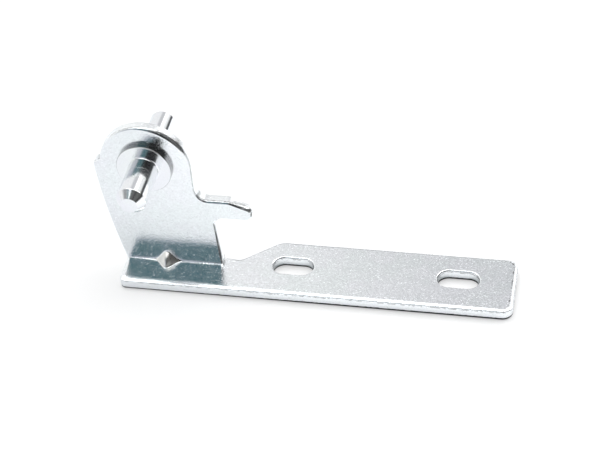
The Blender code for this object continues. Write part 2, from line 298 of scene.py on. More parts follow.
# Room as the metal mirrors it, in degrees: a patch is (left, right, softness), (bottom, top, softness), colour
ROOM_COLOUR = (0.99, 1.0, 1.0)
CEILING = ((49, 58), (2.65, 2.65, 2.65))
CEILING_MIDDLE = ((73, 82), (0.88, 0.88, 0.88))
BACK_WALL = ((-11, 7, 11), (30, 51, 3), (0.58, 0.585, 0.61))
POST = ((7.5, 10.5, 1.2), (24, 50, 3), (0.3, 0.3, 0.31))
HORIZON = ((-24, 6, 6), (-6, 23, 4), (0.42, 0.43, 0.45))
GAP_BEHIND = ((36, 130, 4), (-4, 15, 4), (0.07, 0.075, 0.08))
SHADE_LEFT = ((-71, -46, 7), (22, 62, 7), (0.36, 0.37, 0.38))
SHADE_RIGHT = ((62, 116, 6), (-6, 44, 5), (0.05, 0.05, 0.05))
SOFT_BOX = ((13, 31, 2.5), (20, 44, 3), (1.5, 1.5, 1.5))

# Dim side of the room, where the camera stands: its limits, how they rise to the right, and its colours
DIM_SIDE = ((-46, 70, 7), (-9, 60, 5))
DIM_RISE = (-10, 12, 0, 6)
DIM_TURN = (-12, 20)
DIM_LEFT_COLOUR = (0.10, 0.185, 0.21)
DIM_RIGHT_COLOUR = (0.15, 0.155, 0.155)
LOW_LEFT = ((-60, 7, 6), (-30, 29.5, 4), (0.60, 0.61, 0.68))
DIM_CORE = ((0, 45, 9), (-3, 47, 6), (0.02, 0.02, 0.022))

# What a mark on the sheet is drawn from: the place and its three parts, how near it is to the upright edge, the
# noise that makes marks ragged, the depth below the upper face, and whether it is on the raised ear
Spot = namedtuple("Spot", "place x y z rim ragged depth raised")


def arc(centre, radius, start, end):
    """Points of an arc in a plane, both ends included."""
    steps = max(3, math.ceil(abs(end - start) / ARC_STEP))
    angles = [start + (end - start) * i / steps for i in range(steps + 1)]
    return [Vector((centre[0] + radius * math.cos(a), centre[1] + radius * math.sin(a))) for a in angles]


def bowed(start, end, bow):
    """Points between two places on a shallow parabola that stands out by the bow on its right-hand side."""
    side = Vector((end.y - start.y, start.x - end.x)).normalized()
    shares = [i / BOW_STEPS for i in range(1, BOW_STEPS)]
    return [start.lerp(end, share) + side * bow * 4 * share * (1 - share) for share in shares]


def rounded(before, corner, after, radius):
    """The arc that rounds one corner, kept inside the two sides that meet there."""
    to_before = before - corner
    to_after = after - corner
    half = to_before.angle(to_after) / 2
    longest = CORNER_SHARE * min(to_before.length, to_after.length)
    reach = min(radius / math.tan(half), longest)
    radius = reach * math.tan(half)
    middle = (to_before.normalized() + to_after.normalized()).normalized()
    centre = corner + middle * radius / math.sin(half)
    first = corner + to_before.normalized() * reach - centre
    last = corner + to_after.normalized() * reach - centre
    start = math.atan2(first.y, first.x)
    turn = math.atan2(first.cross(last), first.dot(last))
    return arc(centre, radius, start, start + turn)


def rounded_path(corners):
    """An open path through (x, y, radius) corners; a radius of nothing leaves the corner sharp."""
    places = [Vector(corner[:2]) for corner in corners]
    path = [places[0]]
    for i in range(1, len(corners) - 1):
        radius = corners[i][2]
        if radius:
            path += rounded(places[i - 1], places[i], places[i + 1], radius)
        else:
            path.append(places[i])
    path.append(places[-1])
    return path


def with_steps(path):
    """The path with more points along its long straight stretches, clear of their two ends."""
    stepped = [path[0]]
    for before, after in zip(path, path[1:]):
        length = (after - before).length
        if length > LONG_STRETCH:
            margin = CORNER_CLEAR / length
            count = round((length - 2 * CORNER_CLEAR) / STRETCH_STEP)
            stepped += [before.lerp(after, margin + (1 - 2 * margin) * i / count) for i in range(count + 1)]
        stepped.append(after)
    return stepped


def plate_path():
    """The plate's outline, from the fold's left end round the plate to the fold's right end."""
    neck_back = FRONT + NECK_WIDTH
    relief_right = EAR_RIGHT + RELIEF_WIDTH
    relief_bottom = BEND_START - RELIEF_DEPTH
    flare_foot = relief_right + NECK_LENGTH
    flare_top = flare_foot + (BACK - neck_back) / math.tan(FLARE_ANGLE)
    corners = [
        (HINGE_END, BEND_START, 0),
        (HINGE_END, FRONT, HINGE_CORNER_RADIUS),
        (FREE_END, FRONT, FREE_CORNER_RADIUS),
        (FREE_END, BACK, FREE_CORNER_RADIUS),
        (flare_top, BACK, FLARE_SHOULDER_RADIUS),
        (flare_foot, neck_back, FLARE_FOOT_RADIUS),
        (relief_right, neck_back, 0),
        (relief_right, relief_bottom, 0),
        (EAR_RIGHT, relief_bottom, 0),
        (EAR_RIGHT, BEND_START, 0),
    ]
    return with_steps(rounded_path(corners))


def ear_path():
    """The ear's outline in x and height, from the fold's right end over the head to the fold's left end."""
    waist = EAR_RIGHT - EAR_WAIST_INSET
    head_right = PIN_X + HEAD_RADIUS
    head = arc((PIN_X, PIN_HEIGHT), HEAD_RADIUS, 0, SHOULDER_ANGLE)
    step = head[-1] + Vector((-SHOULDER_STEP, -SHOULDER_DROP))
    foot_left = Vector((HINGE_END, BEND_TOP))
    right_side = with_steps(rounded_path([
        (EAR_RIGHT, BEND_TOP, 0),
        (waist, FINGER_BOTTOM, FINGER_ARMPIT_RADIUS),
        (FINGER_END, FINGER_BOTTOM, FINGER_CHIN_RADIUS),
        (FINGER_END, FINGER_TOP - FINGER_SLOPE_DROP, FINGER_TIP_RADIUS),
        (FINGER_END - FINGER_SLOPE_LENGTH, FINGER_TOP, FINGER_KNEE_RADIUS),
        (head_right, FINGER_TOP, FINGER_ROOT_RADIUS),
        (head_right, PIN_HEIGHT, 0),
    ]))
    shoulder_corner = rounded(head[-1], step, foot_left, SHOULDER_RADIUS)
    left_side = bowed(shoulder_corner[-1], foot_left, EAR_LEFT_BOW)
    return right_side[:-1] + head + shoulder_corner + left_side + [foot_left]


def fold(x, along, depth):
    """The place of a blank's point near the fold, by its distance past the fold's start and its depth."""
    reach = BEND_RADIUS + depth
    angle = min(max(along / BEND_LENGTH, 0), 1) * math.pi / 2
    rise = max(along - BEND_LENGTH, 0)
    flat = min(along, 0)
    return Vector((x, BEND_START + flat + reach * math.sin(angle), BEND_TOP - reach * math.cos(angle) + rise))


def dart_dent(place, corner_y, corner_z):
    """Pushes a place near the fold out on to the dart's bulging slope, softly, towards the fold's inside."""
    up = place.z - corner_z
    out = corner_y - place.y
    leg = DART_LEG * math.exp(-((place.x - DART_X) / DART_SPREAD) ** 2)
    bulge = 1 + DART_BULGE * max(0, 1 - ((out - up) / leg) ** 2)
    clear = (up + out - leg * bulge) / math.sqrt(2)
    push = (math.hypot(clear, DART_SOFTNESS) - clear) / 2
    fade = min(1, max(0, 1 - clear / DART_ZONE)) ** 2
    return place + Vector((0, -1, 1)).normalized() * push * fade


def finger_share(point):
    """How far an unrolled point lies along the finger's sloping tip: one at the tip's top, nothing elsewhere."""
    height = point.y + BEND_TOP - BEND_LENGTH
    along = (point.x - FINGER_END) / FINGER_SLOPE_LENGTH + 1
    up = (height - FINGER_BOTTOM) / (FINGER_TOP - FINGER_BOTTOM)
    return min(max(along, 0), 1) * min(max(up, 0), 1)


def ear_roll(point):
    """The roll's width, depth and flatness at an unrolled point of the ear."""
    height = point.y + BEND_TOP - BEND_LENGTH
    across = point.x - PIN_X
    above = height - PIN_HEIGHT
    near_head = above > 0 and math.hypot(across, above) < HEAD_REACH
    aside = (math.atan2(across, above) - HEAD_ROLL_MIDDLE) / HEAD_ROLL_SPREAD
    head = max(0, 1 - aside ** 2) if near_head else 0
    finger = min(1, max(0, (across - HEAD_RADIUS) / FINGER_ROOT_RADIUS))
    foot = max(0, 1 - height / FOOT_ROLL_HEIGHT) if point.x > DART_X else 0
    weights = (1, head, finger, finger_share(point), foot)
    rolls = (EAR_ROLL, HEAD_ROLL, FINGER_ROLL, FINGER_TIP_ROLL, FOOT_ROLL)
    return [sum(weight * part for weight, part in zip(weights, parts)) for parts in zip(*rolls)]


def head_sag(point):
    """How much of the gentle sag inside the head's roll reaches an unrolled point."""
    across = point.x - PIN_X
    above = point.y + BEND_TOP - BEND_LENGTH - PIN_HEIGHT
    if above < 0 or math.hypot(across, above) > HEAD_REACH:
        return 0
    return max(0, 1 - ((math.atan2(across, above) - HEAD_SAG_MIDDLE) / HEAD_SAG_SPREAD) ** 2)


def plate_roll(point):
    """The roll's width, depth and flatness at an unrolled point of the plate."""
    beside_ear = EAR_RIGHT - SUPPORT < point.x < EAR_RIGHT + RELIEF_WIDTH + SUPPORT
    if beside_ear and point.y > (FRONT - BEND_START) / 2:
        return RELIEF_ROLL
    at_front = max(0, 1 - (point.y + BEND_START - FRONT) / HINGE_CORNER_RADIUS)
    fade = FOLD_ROLL_REACH + EAR_FOOT_WIDTH
    at_fold = min(1, max(0, (EAR_RIGHT + FOLD_ROLL_REACH - point.x) / fade))
    front = FRONT_ROLL_WIDTH + at_fold * (FOLD_ROLL_WIDTH - FRONT_ROLL_WIDTH)
    return ROLL_WIDTH + at_front * (front - ROLL_WIDTH), ROLL_DEPTH, 0


def inset(outline, distances):
    """A closed outline moved inwards, each point along the mean of its two sides' normals."""
    moved = []
    for i, point in enumerate(outline):
        into = (point - outline[i - 1]).normalized()
        out = (outline[(i + 1) % len(outline)] - point).normalized()
        normal = Vector((-into.y - out.y, into.x + out.x)).normalized()
        moved.append(point + normal * distances[i] / max(normal.dot(Vector((-into.y, into.x))), MITRE_LIMIT))
    return moved


def slot_outline(middle, growth):
    """A screw slot's outline, larger all round by the growth."""
    radius = SLOT_WIDTH / 2 + growth
    straight = (SLOT_LENGTH - SLOT_WIDTH) / 2
    right = arc((middle + straight, 0), radius, -math.pi / 2, math.pi / 2)
    left = arc((middle - straight, 0), radius, math.pi / 2, math.pi * 3 / 2)
    return right + left


def edge_levels():
    """The rings up the sheet's edge: depth, turn round the roll, step inwards, draft's share and sag's share."""
    burr_turns = [math.pi / 2 * i / BURR_STEPS for i in range(BURR_STEPS + 1)]
    burr = [(SHEET - BURR_ROUND * (1 - math.cos(turn)), None, BURR_ROUND * (1 - math.sin(turn)), 1, 0)
            for turn in burr_turns]
    roll = [(0, math.pi / 2 * i / ROLL_STEPS, 0, 0, 0) for i in range(ROLL_STEPS + 1)]
    sag = [(0, math.pi / 2, SUPPORT * i / SAG_STEPS, 0, i / SAG_STEPS) for i in range(1, SAG_STEPS + 1)]
    return [(SHEET, None, BURR_ROUND + SUPPORT, 1, 0)] + burr + [(SUPPORT, 0, 0, 0, 0)] + roll + sag


def rolled(turn, width, depth, flatness):
    """How far inwards and how deep the roll lies at a turn round it: an ellipse, or flatter than one."""
    if turn is None:
        return 0, 0
    return width * (1 - math.cos(turn) ** (1 + flatness)), depth * (1 - math.sin(turn) ** (1 + flatness))


def skirt(bm, lower, upper, lengths, depths, uv):
    """Quads between two rings of the same length, mapped by distance along the edge and depth."""
    for i in range(len(lower)):
        j = (i + 1) % len(lower)
        face = bm.faces.new((lower[i], lower[j], upper[j], upper[i]))
        places = ((lengths[i], depths[0]), (lengths[i + 1], depths[0]),
                  (lengths[i + 1], depths[1]), (lengths[i], depths[1]))
        for loop, place in zip(face.loops, places):
            loop[uv].uv = place


def running_lengths(outline):
    """The distance along a closed outline at each point, with the whole length as the last."""
    lengths = [0]
    for i, point in enumerate(outline):
        lengths.append(lengths[-1] + (outline[(i + 1) % len(outline)] - point).length)
    return lengths


def cap(bm, loops, flat):
    """A flat face inside the first loop of vertices and outside the others, which are convex holes.

    The triangulation also fills the holes, so a triangle whose corners all lie on one hole is skipped.
    """
    verts = [vert for loop in loops for vert in loop]
    owner = [number for number, loop in enumerate(loops) for _ in loop]
    edges = []
    start = 0
    for loop in loops:
        edges += [(start + i, start + (i + 1) % len(loop)) for i in range(len(loop))]
        start += len(loop)
    places = [flat(vert) / SHEET for vert in verts]
    triangles = delaunay_2d_cdt(places, edges, [], 1, MERGE_DISTANCE)[2]
    for triangle in triangles:
        owners = {owner[i] for i in triangle}
        if len(owners) > 1 or 0 in owners:
            bm.faces.new([verts[i] for i in triangle])


def fold_rows():
    """Distances along the blank of the rows that cross the fold, with a fine stretch on either side of it."""
    stretch = [DART_ZONE * i / DART_CELLS for i in range(1, DART_CELLS + 1, 2)]
    bend = [BEND_LENGTH * i / BEND_STEPS for i in range(BEND_STEPS + 1)]
    return [-along for along in reversed(stretch)] + bend + [BEND_LENGTH + along for along in stretch]


def dart_grid(bm, depth, corner, rows):
    """A fine grid across the fold with the dart drawn in it, and each vertex's place on the blank."""
    columns = [DART_X - DART_ZONE + 2 * DART_ZONE * i / DART_CELLS for i in range(DART_CELLS + 1)]
    dart_layer = bm.verts.layers.float["dart"]
    grid = []
    for along in rows:
        undented = [fold(x, along, depth) for x in columns]
        grid.append([bm.verts.new(dart_dent(place, *corner)) for place in undented])
        for vert, place in zip(grid[-1], undented):
            vert[dart_layer] = min(1, (vert.co - place).length / DART_SCUFF)
    for lower, upper in zip(grid, grid[1:]):
        for i in range(DART_CELLS):
            bm.faces.new((lower[i], lower[i + 1], upper[i + 1], upper[i]))
    return grid, {vert: Vector((x, along)) for along, row in zip(rows, grid) for x, vert in zip(columns, row)}


def sheet_side(bm, rim, depth, bounds, slots, hole, corner):
    """One side of the folded sheet: plate, fold and ear, with a fine grid where the dart is drawn."""
    plate_count, ear_start, ear_end = bounds
    rows = fold_rows()
    first_bend = rows.index(0)
    last_bend = first_bend + BEND_STEPS
    grid, blank = dart_grid(bm, depth, corner, rows)
    right = rim[plate_count - 1:ear_start + 1]
    left = [rim[0]] + rim[:ear_end - 1:-1] + [rim[ear_end - 1]]
    for i in range(BEND_STEPS):
        low, high = grid[first_bend + i], grid[first_bend + i + 1]
        bm.faces.new((left[i], low[0], high[0], left[i + 1]))
        bm.faces.new((low[-1], right[i], right[i + 1], high[-1]))
    plate_notch = [row[-1] for row in reversed(grid[:first_bend + 1])] + grid[0][-2:0:-1]
    plate_notch += [row[0] for row in grid[:first_bend + 1]]
    ear_notch = [row[0] for row in grid[last_bend:]] + grid[-1][1:-1]
    ear_notch += [row[-1] for row in reversed(grid[last_bend:])]

    def on_plate(vert):
        """A vertex's place on the plate, with the dart left out."""
        return blank[vert] + Vector((0, BEND_START)) if vert in blank else Vector((vert.co.x, vert.co.y))

    def on_ear(vert):
        """A vertex's place on the ear, in x and height, with the dart left out."""
        lifted = Vector((0, BEND_TOP - BEND_LENGTH))
        return blank[vert] + lifted if vert in blank else Vector((vert.co.x, vert.co.z))

    cap(bm, [rim[:plate_count] + plate_notch] + slots, on_plate)
    cap(bm, [rim[ear_start:ear_end] + ear_notch, hole], on_ear)


def unrolled_blank():
    """The blank's outline before the fold, and where its plate ends and its ear starts and ends."""
    plate = plate_path()
    ear = ear_path()
    bend = [BEND_LENGTH * i / BEND_STEPS for i in range(1, BEND_STEPS)]
    blank = [Vector((p.x, p.y - BEND_START)) for p in plate]
    blank += [Vector((plate[-1].x, along)) for along in bend]
    blank += [Vector((p.x, p.y - BEND_TOP + BEND_LENGTH)) for p in ear]
    blank += [Vector((plate[0].x, along)) for along in reversed(bend)]
    ear_start = len(plate) + len(bend)
    return blank, (len(plate), ear_start, ear_start + len(ear))


def blank_rolls(blank, on_ear):
    """The roll's width, depth and flatness round the blank, a little uneven, from the plate's to the ear's."""
    rolls = []
    for p, lifted in zip(blank, on_ear):
        uneven = 1 + ROLL_UNEVENNESS * noise.noise(Vector((p.x, p.y, 0)) / ROLL_UNEVENNESS_LENGTH)
        width, depth, flatness = [a + lifted * (b - a) for a, b in zip(plate_roll(p), ear_roll(p))]
        rolls.append((width * uneven, depth * uneven, flatness))
    return rolls


def rim_rings(bm, blank, plate_count, levels):
    """The folded sheet's edge as rings of vertices, one for each level up the edge."""
    ear_count = len(blank) - plate_count
    on_ear = [0] * plate_count + [min(1, min(i + 1, ear_count - i) / BEND_STEPS) for i in range(ear_count)]
    shares = [finger_share(p) for p in blank]
    sags = [lifted * head_sag(p) for p, lifted in zip(blank, on_ear)]
    rolls = blank_rolls(blank, on_ear)
    rims = []
    for depth, turn, inwards, drafted, inside in levels:
        places = [rolled(turn, *roll) for roll in rolls]
        insets = [inwards + into + drafted * FINGER_BACK_DRAFT * share + inside * sag * (HEAD_SAG_WIDTH - into)
                  for (into, _), share, sag in zip(places, shares, sags)]
        outline = inset(blank, insets)
        sagged = 0 if turn is None else HEAD_SAG_DEPTH
        depths = [depth + drop + sagged * sag * max(0, 1 - into / HEAD_SAG_WIDTH) ** 2
                  for (_, drop), sag, into in zip(places, sags, insets)]
        flat = [(p.x, BEND_START + p.y, SHEET - d) for p, d in zip(outline[:plate_count], depths)]
        raised = [fold(p.x, p.y, d) for p, d in zip(outline[plate_count:], depths[plate_count:])]
        rims.append([bm.verts.new(place) for place in flat + raised])
    return rims


def slot_rings(bm, middle, levels, map_depths, uv):
    """A screw slot's wall and rolled rim, as rings of vertices joined by faces."""
    rings = []
    for depth, turn, inwards, _, _ in levels:
        into, drop = rolled(turn, SLOT_ROLL, ROLL_DEPTH, 0)
        outline = slot_outline(middle, inwards + into)
        rings.append([bm.verts.new((p.x, p.y, SHEET - depth - drop)) for p in outline])
    lengths = running_lengths(slot_outline(middle, 0))
    for i in range(len(levels) - 1):
        skirt(bm, rings[i + 1], rings[i], lengths, (map_depths[i + 1], map_depths[i]), uv)
    return rings


def hole_rings(bm, uv):
    """The pin hole's wall through the ear, chamfered at the back, as rings of vertices joined by faces."""
    rings = []
    for depth, growth in ((0, SUPPORT), (0, 0), (SUPPORT, 0), (SHEET - HOLE_CHAMFER, 0), (SHEET, HOLE_CHAMFER),
                          (SHEET, HOLE_CHAMFER + SUPPORT)):
        outline = arc((PIN_X, PIN_HEIGHT), SHANK_RADIUS + SHANK_FIT + growth, 0, 2 * math.pi)[:-1]
        rings.append([bm.verts.new((p.x, EAR_FACE + depth, p.y)) for p in outline])
    lengths = running_lengths(outline)
    for front, back in zip(rings, rings[1:]):
        skirt(bm, front, back, lengths, (0, SUPPORT), uv)
    return rings


def bracket_mesh():
    """The folded sheet, with its slots, its pin hole, its rolled upper edge and its dart."""
    bm = bmesh.new()
    uv = bm.loops.layers.uv.new("edge_map")
    for name in ("rim", "dart"):
        bm.verts.layers.float.new(name)
    rim_layer = bm.verts.layers.float["rim"]
    levels = edge_levels()
    map_depths = [depth + rolled(turn, 0, ROLL_DEPTH, 0)[1] for depth, turn, _, _, _ in levels]
    blank, bounds = unrolled_blank()
    rims = rim_rings(bm, blank, bounds[0], levels)
    lengths = running_lengths(blank)
    for i in range(len(levels) - 1):
        skirt(bm, rims[i], rims[i + 1], lengths, map_depths[i:i + 2], uv)
    slots = [slot_rings(bm, middle, levels, map_depths, uv) for middle in (-SLOT_SPACING / 2, SLOT_SPACING / 2)]
    hole = hole_rings(bm, uv)
    for rings in [rims] + slots:
        for ring, (_, turn, _, _, _) in zip(rings[1:-1], levels[1:-1]):
            for vert in ring:
                vert[rim_layer] = math.cos(turn or 0)
    sheet_side(bm, rims[0], SHEET, bounds, [rings[0] for rings in slots], hole[-1], (EAR_FACE + SHEET, 0))
    sheet_side(bm, rims[-1], 0, bounds, [rings[-1] for rings in slots], hole[0], (EAR_FACE, SHEET))
    bmesh.ops.recalc_face_normals(bm, faces=bm.faces)
    mesh = bpy.data.meshes.new("plated_bracket")
    bm.to_mesh(mesh)
    bm.free()
    mesh.shade_smooth()
    return mesh


def placed(name, data):
    """A named object of a mesh, lamp or camera, at the frame's origin."""
    thing = bpy.data.objects.new(name, data)
    bpy.context.collection.objects.link(thing)
    return thing


def rounded_section(corners):
    """A half section through (along, radius, rounding) corners, with a fine row of points at each corner."""
    places = [Vector((along, radius)) for along, radius, _ in corners]
    points = [places[0]]
    for i in range(1, len(corners) - 1):
        bend = rounded(places[i - 1], places[i], places[i + 1], corners[i][2])
        lead = bend[0].lerp(places[i - 1], min(1, SUPPORT / (bend[0] - places[i - 1]).length))
        trail = bend[-1].lerp(places[i + 1], min(1, SUPPORT / (bend[-1] - places[i + 1]).length))
        points += [lead, *bend, trail]
    return points + [places[-1]]


def pin_section():
    """The pin's half section as (distance along +Y, radius), front to back, with every edge softened."""
    seat = EAR_FACE - FLANGE_GAP
    face = seat - FLANGE_THICKNESS
    tip = pin_low.y
    end = pin_high.y
    return rounded_section([
        (tip, 0, 0),
        (tip, SHAFT_FACE_RADIUS, TIP_EDGE),
        (tip + SHAFT_CHAMFER_LENGTH, SHAFT_RADIUS, CHAMFER_EDGE),
        (face, SHAFT_RADIUS, SHAFT_FILLET),
        (face, FLANGE_RADIUS, FLANGE_EDGE_RADIUS),
        (seat, FLANGE_RADIUS, SEAT_EDGE),
        (seat, SHANK_RADIUS, SEAT_EDGE),
        (end - SHANK_CHAMFER, SHANK_RADIUS, PIN_EDGE),
        (end, SHANK_RADIUS - SHANK_CHAMFER, PIN_EDGE),
        (end, 0, 0),
    ])


def link(tree, source, target):
    """Joins an output to an input."""
    tree.links.new(source, target)


def added(tree, kind, inputs=(), **settings):
    """A new node with its settings, and with outputs or constants on its inputs."""
    node = tree.nodes.new(kind)
    for name, value in settings.items():
        setattr(node, name, value)
    for key, given in dict(inputs).items():
        if isinstance(given, bpy.types.NodeSocket):
            link(tree, given, node.inputs[key])
        elif given is not None:
            node.inputs[key].default_value = given
    return node


def maths(tree, operation, first, second=None):
    """The output of a Math node of two values or outputs."""
    return added(tree, "ShaderNodeMath", {0: first, 1: second}, operation=operation).outputs[0]


def turning_tree():
    """Geometry nodes that turn a half section about its Y axis into a closed round body."""
    tree = bpy.data.node_groups.new("turned_body", "GeometryNodeTree")
    for name, way, kind in (("Section", "INPUT", "Geometry"), ("Sides", "INPUT", "Int"),
                            ("Material", "INPUT", "Material"), ("Body", "OUTPUT", "Geometry")):
        tree.interface.new_socket(name=name, in_out=way, socket_type="NodeSocket" + kind)
    given = tree.nodes.new("NodeGroupInput").outputs
    section, sides = given["Section"], given["Sides"]
    columns = maths(tree, "ADD", sides, 1)
    points = added(tree, "GeometryNodeAttributeDomainSize", {"Geometry": section}, component="MESH")
    grid = added(tree, "GeometryNodeMeshGrid",
                 {"Vertices X": points.outputs["Point Count"], "Vertices Y": columns})

    index = tree.nodes.new("GeometryNodeInputIndex").outputs[0]
    along = added(tree, "FunctionNodeIntegerMath", {0: index, 1: columns}, operation="DIVIDE_FLOOR")
    around = added(tree, "FunctionNodeIntegerMath", {0: index, 1: columns}, operation="MODULO")
    angle = maths(tree, "MULTIPLY", maths(tree, "DIVIDE", around.outputs[0], sides), 2 * math.pi)
    position = tree.nodes.new("GeometryNodeInputPosition").outputs[0]
    sample = added(tree, "GeometryNodeSampleIndex",
                   {"Geometry": section, "Value": position, "Index": along.outputs[0]}, data_type="FLOAT_VECTOR")
    turn = added(tree, "ShaderNodeVectorRotate", {"Vector": sample.outputs[0], "Angle": angle},
                 rotation_type="Y_AXIS")

    body = added(tree, "GeometryNodeSetPosition", {"Geometry": grid.outputs["Mesh"], "Position": turn.outputs[0]})
    body = added(tree, "GeometryNodeMergeByDistance", {"Geometry": body.outputs[0], "Distance": MERGE_DISTANCE})
    for kind in ("GeometryNodeSetShadeSmooth", "GeometryNodeRealizeInstances", "GeometryNodeSetMaterial"):
        body = added(tree, kind, {"Geometry": body.outputs[0]})
    link(tree, given["Material"], body.inputs["Material"])
    added(tree, "NodeGroupOutput", {"Body": body.outputs[0]})
    return tree


def turned(name, section, place, material):
    """A round body turned from a half section, as a plain mesh at its place."""
    outline = bpy.data.meshes.new(name + "_section")
    verts = [(radius, along, 0) for along, radius in section]
    outline.from_pydata(verts, [(i, i + 1) for i in range(len(verts) - 1)], [])
    thing = placed(name, outline)
    modifier = thing.modifiers.new("turned_body", "NODES")
    modifier.node_group = turning_tree()
    sockets = {item.name: item.identifier for item in modifier.node_group.interface.items_tree}
    modifier[sockets["Sides"]] = PIN_SIDES
    modifier[sockets["Material"]] = material
    graph = bpy.context.evaluated_depsgraph_get()
    body = bpy.data.meshes.new_from_object(thing.evaluated_get(graph), depsgraph=graph)
    thing.modifiers.clear()
    bm = bmesh.new()
    bm.from_mesh(body)
    bmesh.ops.translate(bm, vec=place, verts=bm.verts)
    bmesh.ops.recalc_face_normals(bm, faces=bm.faces)
    bm.to_mesh(body)
    bm.free()
    body.name = name
    body.materials.pop(index=0)
    thing.data = body
    return thing


def product(tree, first, *others):
    """The output of several values multiplied."""
    for other in others:
        first = maths(tree, "MULTIPLY", first, other)
    return first


def total(tree, first, *others):
    """The output of several values added."""
    for other in others:
        first = maths(tree, "ADD", first, other)
    return first


def ranged(tree, value, low, high, to_low=0.0, to_high=1.0, smooth=True):
    """A value mapped from one range to another."""
    limits = {"Value": value, "From Min": low, "From Max": high, "To Min": to_low, "To Max": to_high}
    kind = "SMOOTHSTEP" if smooth else "LINEAR"
    return added(tree, "ShaderNodeMapRange", limits, interpolation_type=kind).outputs[0]


def window(tree, value, low, high, soft):
    """One between two limits and nothing outside them, with soft sides."""
    rise = ranged(tree, value, low - soft, low + soft)
    drop = ranged(tree, value, high - soft, high + soft, 1.0, 0.0)
    return product(tree, rise, drop)


def blended(tree, factor, first, second, kind="MIX"):
    """Two colours, given or put out by nodes, blended by a factor."""
    first, second = [(*given, 1) if isinstance(given, tuple) else given for given in (first, second)]
    parts = {"Factor": factor, "A": first, "B": second}
    return added(tree, "ShaderNodeMix", parts, data_type="RGBA", blend_type=kind).outputs["Result"]


def noise_value(tree, place, scale, detail, roughness):
    """A Noise texture's value at a place."""
    parts = {"Vector": place, "Scale": scale, "Detail": detail, "Roughness": roughness}
    return added(tree, "ShaderNodeTexNoise", parts).outputs["Fac"]


def attribute(tree, name):
    """The value of a named attribute of the mesh."""
    return added(tree, "ShaderNodeAttribute", attribute_name=name).outputs["Fac"]


def object_place(tree):
    """The place on the object."""
    return tree.nodes.new("ShaderNodeTexCoord").outputs["Object"]


def camera_ray(tree):
    """One where the camera looks straight at a surface, and nothing in reflections and in bounced light."""
    return tree.nodes.new("ShaderNodeLightPath").outputs["Is Camera Ray"]


def axes(tree, vector):
    """The three parts of a vector."""
    return tuple(added(tree, "ShaderNodeSeparateXYZ", {0: vector}).outputs)


def new_group(name, inputs, outputs):
    """A shader node group with its named sockets, and its input and output nodes."""
    tree = bpy.data.node_groups.new(name, "ShaderNodeTree")
    for kind, sockets in (("INPUT", inputs), ("OUTPUT", outputs)):
        for socket_name, socket_type in sockets:
            tree.interface.new_socket(name=socket_name, in_out=kind, socket_type="NodeSocket" + socket_type)
    return tree, tree.nodes.new("NodeGroupInput"), tree.nodes.new("NodeGroupOutput")


def plating_grain():
    """Crystals of the zinc: a fine speckle, with few brighter sparkles."""
    tree, given, result = new_group(
        "plating_grain",
        (("Place", "Vector"), ("Crystal Size", "Float"), ("Sparkle", "Float")),
        (("Speckle", "Float"), ("Height", "Float")))
    per_metre = maths(tree, "DIVIDE", 1.0, given.outputs["Crystal Size"])
    scaled = added(tree, "ShaderNodeVectorMath", {0: given.outputs["Place"], "Scale": per_metre},
                   operation="SCALE").outputs[0]
    cells = added(tree, "ShaderNodeTexVoronoi", {"Vector": scaled, "Scale": CELLS_PER_CRYSTAL})
    tone = added(tree, "ShaderNodeSeparateColor", {0: cells.outputs["Color"]})
    sparkle = product(tree, ranged(tree, tone.outputs[0], SPARKLE_START, 1.0), given.outputs["Sparkle"])
    soft = ranged(tree, noise_value(tree, scaled, *GRAIN_NOISE), *GRAIN_RANGE, smooth=False)
    speckle = total(tree, product(tree, soft, 1 - CELL_SHARE), product(tree, tone.outputs[1], CELL_SHARE))
    link(tree, total(tree, speckle, sparkle), result.inputs["Speckle"])
    link(tree, total(tree, speckle, product(tree, sparkle, SPARKLE_HEIGHT)), result.inputs["Height"])
    return tree


def plating_cloud():
    """Broad, faint patches in the plating: where its tint leans to green or to violet, and where it is duller."""
    tree, given, result = new_group(
        "plating_cloud",
        (("Place", "Vector"), ("Green Tint", "Color"), ("Violet Tint", "Color"), ("Strength", "Float")),
        (("Tint", "Color"), ("Dullness", "Float")))
    broad = noise_value(tree, given.outputs["Place"], *BROAD_CLOUDS)
    small = noise_value(tree, given.outputs["Place"], *SMALL_CLOUDS)
    mixed = total(tree, product(tree, broad, BROAD_SHARE), product(tree, small, 1 - BROAD_SHARE))
    lean = ranged(tree, mixed, *TINT_RANGE)
    tinted = blended(tree, lean, given.outputs["Green Tint"], given.outputs["Violet Tint"])
    link(tree, blended(tree, given.outputs["Strength"], WHITE, tinted), result.inputs["Tint"])
    link(tree, ranged(tree, small, *DULL_RANGE), result.inputs["Dullness"])
    return tree


def plating(tree, grain, cloud, crystal, sparkle, violet, strength):
    """The two plating groups in a material: the crystals' outputs and the patches' outputs."""
    place = object_place(tree)
    crystals = {"Place": place, "Crystal Size": crystal, "Sparkle": sparkle}
    clouds = {"Place": place, "Green Tint": (*GREEN_TINT, 1), "Violet Tint": (*violet, 1), "Strength": strength}
    return (added(tree, "ShaderNodeGroup", crystals, node_tree=grain).outputs,
            added(tree, "ShaderNodeGroup", clouds, node_tree=cloud).outputs)


def new_metal(name):
    """A material with its shader set as bare metal, and its node tree."""
    material = bpy.data.materials.new(name)
    material.use_nodes = True
    shader = material.node_tree.nodes["Principled BSDF"]
    shader.inputs["Metallic"].default_value = 1
    return material, material.node_tree, shader


def zinc_colour(tree, speckle, tones, hue, tint):
    """The zinc's tinted grey. Tones are the most speckle, and the grey at none and at the most."""
    tone = ranged(tree, speckle, 0.0, *tones, smooth=False)
    grey = added(tree, "ShaderNodeCombineColor", {i: product(tree, tone, share) for i, share in enumerate(hue)})
    return blended(tree, 1.0, grey.outputs[0], tint, "MULTIPLY")


